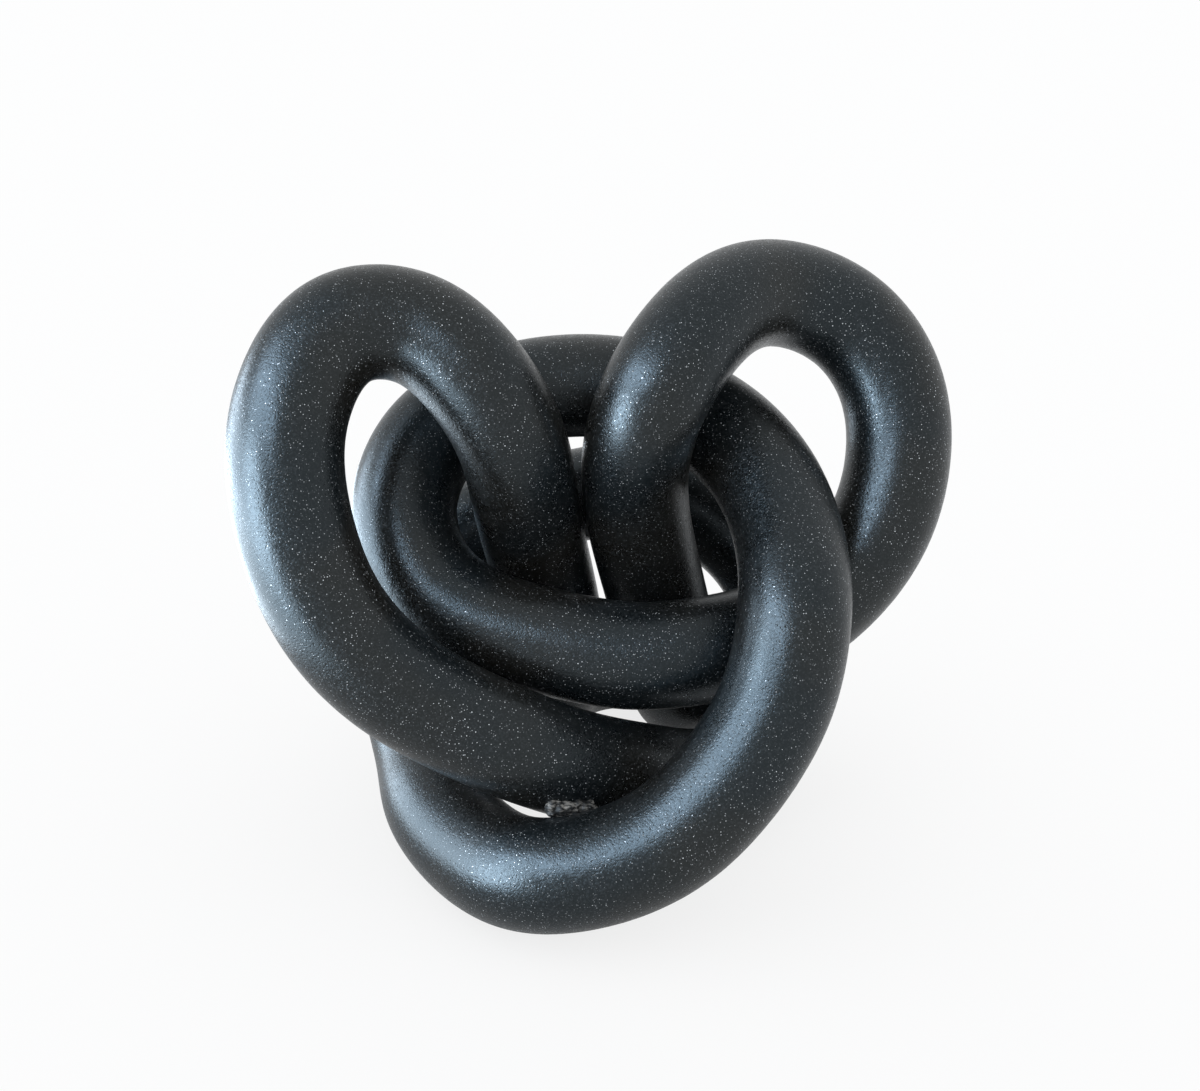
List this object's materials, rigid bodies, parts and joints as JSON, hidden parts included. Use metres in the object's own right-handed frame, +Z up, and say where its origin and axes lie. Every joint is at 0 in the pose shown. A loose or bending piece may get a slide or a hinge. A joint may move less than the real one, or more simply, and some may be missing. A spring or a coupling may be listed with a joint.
{
  "type": "knot sculpture",
  "caption": "Table ornament: a thick round metal bar tied into a closed knot with tall side loops and a low front loop, dark charcoal satin coat with fine sand grain, rests on small felt dots",
  "frame": {"origin": "on the table, under the middle of the knot's outer box", "axes": "+X to the right and -Y toward the viewer of the picture, +Z up"},
  "size_m": [0.1835, 0.1468, 0.1566],
  "materials": {
    "coated_bar": "dark charcoal satin coat with a fine sand grain and small bright flecks",
    "coated_weld": "the same coat over rough, undressed weld metal",
    "dowel_steel": "ground steel",
    "felt": "black pressed felt"
  },
  "bodies": {
    "root": {"left_lobe": "coated_bar", "left_cross_arm": "coated_bar", "back_arch": "coated_bar", "front_lobe": "coated_bar", "front_arm": "coated_bar", "middle_ring_arm": "coated_bar", "middle_cross_arm": "coated_bar", "right_lobe": "coated_bar", "right_lobe_leg": "coated_bar", "rear_bend": "coated_bar", "weld_bead_1": "coated_bar", "weld_bead_2": "coated_bar", "weld_bead_3": "coated_bar", "weld_bead_4": "coated_bar", "weld_bead_5": "coated_bar", "weld_bead_6": "coated_bar", "weld_bead_7": "coated_bar", "weld_bead_8": "coated_bar", "weld_bead_9": "coated_bar", "weld_bead_10": "coated_bar", "tack_weld": "coated_weld", "dowel_1": "dowel_steel", "dowel_2": "dowel_steel", "dowel_3": "dowel_steel", "dowel_4": "dowel_steel", "dowel_5": "dowel_steel", "dowel_6": "dowel_steel", "dowel_7": "dowel_steel", "dowel_8": "dowel_steel", "dowel_9": "dowel_steel", "dowel_10": "dowel_steel", "felt_dot_front": "felt", "felt_dot_right": "felt", "felt_dot_back": "felt"}
  },
  "joints": []
}
